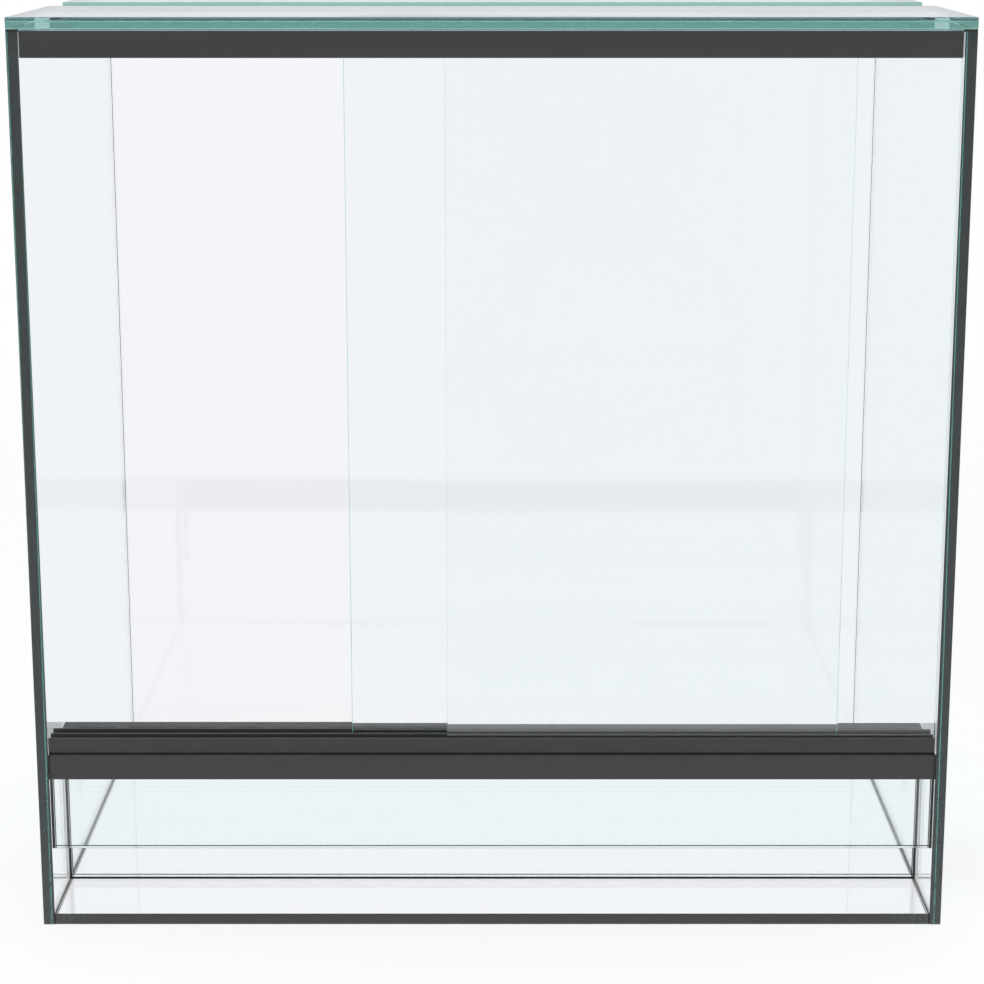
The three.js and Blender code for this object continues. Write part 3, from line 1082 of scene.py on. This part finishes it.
@dataclass
class Sill:
    """The folded angle under the rail, with its slots, and the tape behind its flange."""

    finishes: Finishes
    beads: BeadMaker
    slots: SlotCutter
    sheet: float = 1.6 * MM
    outer_bend: float = 1.4 * MM
    inner_bend: float = 0.4 * MM
    bend_steps: int = 5
    edge_radius: float = 0.2 * MM
    edge_steps: int = 2
    tape_seed: int = 31

    def build(self) -> None:
        """Builds the angle and its tape."""
        low, high = NODE_BOXES["sill_profile"]
        shape = bar_from_outline(self._outline(low, high), low.x, high.x)
        round_edges(shape, self.edge_radius, self.edge_steps, LONG_EDGE)
        plate = new_piece("sill_angle", mesh_from(shape, "sill_angle", self.finishes.sill_coating))
        free = (NODE_BOXES["lower_door_rail"][1].y, NODE_BOXES["lower_window"][0].y)
        self.slots.cut(plate, (low.x, high.x), free, high.z - self.sheet / 2)
        hand_over(plate, Slot.SILL_COATING, "sill_profile")
        self.beads.lay_tape("apron_tape", self.finishes.tape_foam, Slot.TAPE_FOAM, self.tape_seed)

    def _outline(self, low: Vector, high: Vector) -> list[Pair]:
        """The angle's outline with its bend rounded.

        Args:
            low: the angle's lowest corner.
            high: its highest corner.

        Returns:
            The corners in Y and Z.
        """
        foot = (low.y, low.z)
        front = (low.y, high.z)
        rear = (high.y, high.z)
        inner = (low.y + self.sheet, high.z - self.sheet)
        inner_foot = (low.y + self.sheet, low.z)
        inner_rear = (high.y, high.z - self.sheet)
        outside = round_corner(front, foot, rear, self.outer_bend, self.bend_steps)
        inside = round_corner(inner, inner_rear, inner_foot, self.inner_bend, self.bend_steps)
        return [foot, *outside, rear, inner_rear, *inside, inner_foot]


@dataclass
class DoorRails:
    """The two E-section rails that the doors slide in, with the tapes that hold them."""

    finishes: Finishes
    beads: BeadMaker
    lip_radius: float = 0.32 * MM
    lip_segments: int = 3
    rails: tuple[str, ...] = ("lower_door_rail", "upper_door_rail")
    tape_seeds: tuple[int, int] = (40, 41)

    def build(self) -> None:
        """Builds both rails and both tapes."""
        finishes = self.finishes
        for name in self.rails:
            shape = merged_copy(name)
            round_edges(shape, self.lip_radius, self.lip_segments, LONG_EDGE)
            rail = new_piece(f"{name}_profile", mesh_from(shape, name, finishes.rail_plastic))
            hand_over(rail, Slot.RAIL_PLASTIC, name)
        lower_seed, upper_seed = self.tape_seeds
        self.beads.lay_tape("lower_rail_tape", finishes.tape_foam, Slot.TAPE_FOAM, lower_seed)
        self.beads.lay_tape("upper_rail_tape", finishes.clear_tape, Slot.CLEAR_TAPE, upper_seed)


@dataclass
class RoofVent:
    """The slotted strip under the roof's gap, with its two tapes."""

    finishes: Finishes
    beads: BeadMaker
    slots: SlotCutter
    edge_radius: float = 0.2 * MM
    edge_steps: int = 2
    tapes: tuple[str, ...] = ("roof_vent_front_tape", "roof_vent_rear_tape")
    first_seed: int = 50

    def build(self) -> None:
        """Builds the strip and its tapes."""
        low, high = NODE_BOXES["roof_vent_strip"]
        outline = [(low.y, low.z), (low.y, high.z), (high.y, high.z), (high.y, low.z)]
        shape = bar_from_outline(outline, low.x, high.x)
        round_edges(shape, self.edge_radius, self.edge_steps)
        mesh = mesh_from(shape, "roof_vent_grille", self.finishes.sill_coating)
        strip = new_piece("roof_vent_grille", mesh)
        gap = (NODE_BOXES["roof_front_pane"][1].y, NODE_BOXES["roof_rear_pane"][0].y)
        self.slots.cut(strip, (low.x, high.x), gap, (low.z + high.z) / 2)
        hand_over(strip, Slot.SILL_COATING, "roof_vent_strip")
        for seed, name in enumerate(self.tapes, self.first_seed):
            self.beads.lay_tape(name, self.finishes.clear_tape, Slot.CLEAR_TAPE, seed)


@dataclass
class SlidingDoors:
    """The two glass doors. Their CAD solids stay."""

    finishes: Finishes
    doors: tuple[str, ...] = ("left_door", "right_door")

    def build(self) -> None:
        """Dresses both doors."""
        for name in self.doors:
            dress_node(name, self.finishes.door_glass)


# ---- studio


@dataclass(frozen=True)
class SoftBox:
    """A soft studio lamp."""

    name: str
    place: Colour
    size: float
    power: float
    target: Colour = (0.0, 0.0, 0.22)

    def build(self) -> None:
        """Adds the lamp, which neither glass nor camera sees."""
        lamp = bpy.data.lights.new(self.name, "AREA")
        lamp.shape = "DISK"
        lamp.size = self.size
        lamp.energy = self.power
        holder = bpy.data.objects.new(self.name, lamp)
        holder.location = self.place
        aim = Vector(self.target) - Vector(self.place)
        holder.rotation_euler = aim.to_track_quat("-Z", "Y").to_euler()
        holder.visible_camera = False
        holder.visible_glossy = False
        holder.visible_transmission = False
        bpy.context.scene.collection.objects.link(holder)


@dataclass
class Studio:
    """The camera, the lamps, the pale floor and the white surround."""

    camera_place: Colour = (0.0031, -1.3813, 0.564)
    camera_tilt: float = 12.2237
    lens: float = 86.782
    sensor: float = 36.0
    shift_x: float = -0.0058
    shift_y: float = -0.09
    clip: Pair = (0.05, 60.0)
    glass_bounces: int = 20
    glossy_bounces: int = 10
    diffuse_bounces: int = 4
    seen_in_glass: Colour = (0.95, 0.925, 0.955)
    # Painted light: under the cabinet the floor, as glass and gloss see it, glows this brighter, pinker
    # white. under_shape, under_start and under_end outline that patch.
    painted_glow_under_glass: Colour = (1.0, 0.95, 0.98)
    under_shape: Colour = (0.6, 1.0, 1.0)
    under_start: float = 0.17
    under_end: float = 0.26
    reflected: Colour = (0.78, 0.80, 0.83)
    world_strength: float = 0.6
    floor_colour: Colour = (0.86, 0.87, 0.88)
    floor_mottle: float = 0.985
    floor_grain: float = 240.0
    floor_glow: float = 0.7
    floor_glow_in_glass: float = 0.98
    floor_drop: float = 0.3 * MM
    floor_radius: float = 8.0
    floor_rings: int = 12
    floor_sides: int = 96
    glow_start: float = 0.5
    glow_end: float = 1.6
    lamps: tuple[SoftBox, ...] = (
        SoftBox("key_lamp", (-0.9, -1.5, 1.9), 1.3, 26.0),
        SoftBox("fill_lamp", (1.4, -0.9, 1.2), 1.2, 9.0),
        SoftBox("top_lamp", (0.1, 0.5, 2.1), 1.4, 12.0),
    )

    def build(self) -> None:
        """Builds the whole studio."""
        scene = bpy.context.scene
        scene.view_settings.view_transform = "Standard"
        scene.cycles.max_bounces = self.glass_bounces
        scene.cycles.transmission_bounces = self.glass_bounces
        scene.cycles.transparent_max_bounces = self.glass_bounces
        scene.cycles.glossy_bounces = self.glossy_bounces
        scene.cycles.diffuse_bounces = self.diffuse_bounces
        self._camera()
        self._world()
        self._floor()
        for lamp in self.lamps:
            lamp.build()

    def _camera(self) -> None:
        """Adds the camera at the photograph's viewing angle."""
        camera = bpy.data.cameras.new("camera")
        camera.sensor_width = self.sensor
        camera.lens = self.lens
        camera.shift_x = self.shift_x
        camera.shift_y = self.shift_y
        camera.clip_start, camera.clip_end = self.clip
        camera.dof.use_dof = False
        holder = bpy.data.objects.new("camera", camera)
        holder.location = self.camera_place
        holder.rotation_euler = (math.radians(90 - self.camera_tilt), 0.0, 0.0)
        bpy.context.scene.collection.objects.link(holder)
        bpy.context.scene.camera = holder

    def _world(self) -> None:
        """Sets the surround: white to the camera, slightly below white in glass and gloss, soft as light."""
        world = bpy.data.worlds.new("studio_world")
        world.use_nodes = True
        bpy.context.scene.world = world
        graph = NodeGraph(world.node_tree)
        path = graph.add("ShaderNodeLightPath").outputs
        inputs = {"Color": (*WHITE, 1.0), "Strength": self.world_strength}
        surface = graph.add("ShaderNodeBackground", inputs)
        shades = {
            "Is Glossy Ray": self.reflected,
            "Is Transmission Ray": self.seen_in_glass,
            "Is Camera Ray": WHITE,
        }
        for ray, shade in shades.items():
            inputs = {"Color": (*shade, 1.0), "Strength": 1.0}
            surface = graph.mix_shaders(path[ray], surface, graph.add("ShaderNodeBackground", inputs))
        graph.add("ShaderNodeOutputWorld", {"Surface": surface.outputs[0]})

    def _floor(self) -> None:
        """Adds the pale floor, a wide disc that fades into the white surround."""
        shape = bmesh.new()
        level = -self.floor_drop
        centre = shape.verts.new((0, 0, level))
        rings = []
        for ring in range(1, self.floor_rings + 1):
            radius = self.floor_radius * (ring / self.floor_rings) ** 2
            turns = [2 * math.pi * side / self.floor_sides for side in range(self.floor_sides)]
            ring_verts = [(radius * math.cos(turn), radius * math.sin(turn), level) for turn in turns]
            rings.append([shape.verts.new(place) for place in ring_verts])
        for side in range(self.floor_sides):
            after = (side + 1) % self.floor_sides
            shape.faces.new((centre, rings[0][side], rings[0][after]))
            for inner, outer in zip(rings, rings[1:]):
                shape.faces.new((inner[side], outer[side], outer[after], inner[after]))
        floor = new_piece("floor", mesh_from(shape, "floor", self._floor_material()))

    def _floor_material(self) -> Material:
        """The floor's finish: it keeps the object's shadow and glows with painted light under the cabinet, a
        brighter and pinker white where glass and gloss see it. Further off it turns to the surround's white.
        """
        material, graph = new_material("studio_floor")
        path = graph.add("ShaderNodeLightPath").outputs
        place = graph.add("ShaderNodeTexCoord").outputs["Object"]
        away = graph.add("ShaderNodeVectorMath", {0: place}, operation="LENGTH").outputs["Value"]
        camera_glow = graph.ramp(away, self.glow_start, self.glow_end, self.floor_glow, 1.0)
        glass_glow = graph.ramp(away, self.glow_start, self.glow_end, self.floor_glow_in_glass, 1.0)
        dark = tuple(self.floor_mottle * c for c in self.floor_colour)
        tone = graph.blend(graph.noise(place, self.floor_grain, 3.0), self.floor_colour, dark)
        matt = graph.add("ShaderNodeBsdfDiffuse", {"Color": tone})
        white = graph.add("ShaderNodeEmission", {"Color": (*WHITE, 1.0), "Strength": 1.0})
        # Painted light: inside this patch under the cabinet, the floor seen in glass and gloss glows brighter
        # and pinker than further off.
        inputs = {0: place, 1: self.under_shape}
        drawn_in = graph.add("ShaderNodeVectorMath", inputs, operation="MULTIPLY").outputs[0]
        under = graph.add("ShaderNodeVectorMath", {0: drawn_in}, operation="LENGTH").outputs["Value"]
        beyond = graph.ramp(under, self.under_start, self.under_end)
        painted_glow_hue = graph.blend(beyond, self.painted_glow_under_glass, self.seen_in_glass)
        seen = graph.add("ShaderNodeEmission", {"Color": painted_glow_hue, "Strength": 1.0})
        glowing = graph.mix_shaders(path["Is Camera Ray"], seen, white)
        through = graph.math("MAXIMUM", path["Is Glossy Ray"], path["Is Transmission Ray"])
        to_camera = graph.math("MULTIPLY", path["Is Camera Ray"], camera_glow)
        to_glass = graph.math("MULTIPLY", through, glass_glow)
        surface = graph.mix_shaders(graph.math("MAXIMUM", to_camera, to_glass), matt, glowing)
        graph.add("ShaderNodeOutputMaterial", {"Surface": surface.outputs[0]})
        return material


def main() -> None:
    """Builds the studio and dresses the cabinet, one sub-assembly after another."""
    logging.basicConfig(level=logging.INFO, format="%(name)s: %(message)s")
    Studio().build()
    finishes = Finishes()
    beads = BeadMaker(BeadTree().tree)
    slots = SlotCutter(SlotTree().tree)
    GlassShell(finishes).build()
    SiliconeWork(finishes, beads).build()
    Sill(finishes, beads, slots).build()
    DoorRails(finishes, beads).build()
    RoofVent(finishes, beads, slots).build()
    SlidingDoors(finishes).build()


if __name__ == "__main__":
    main()
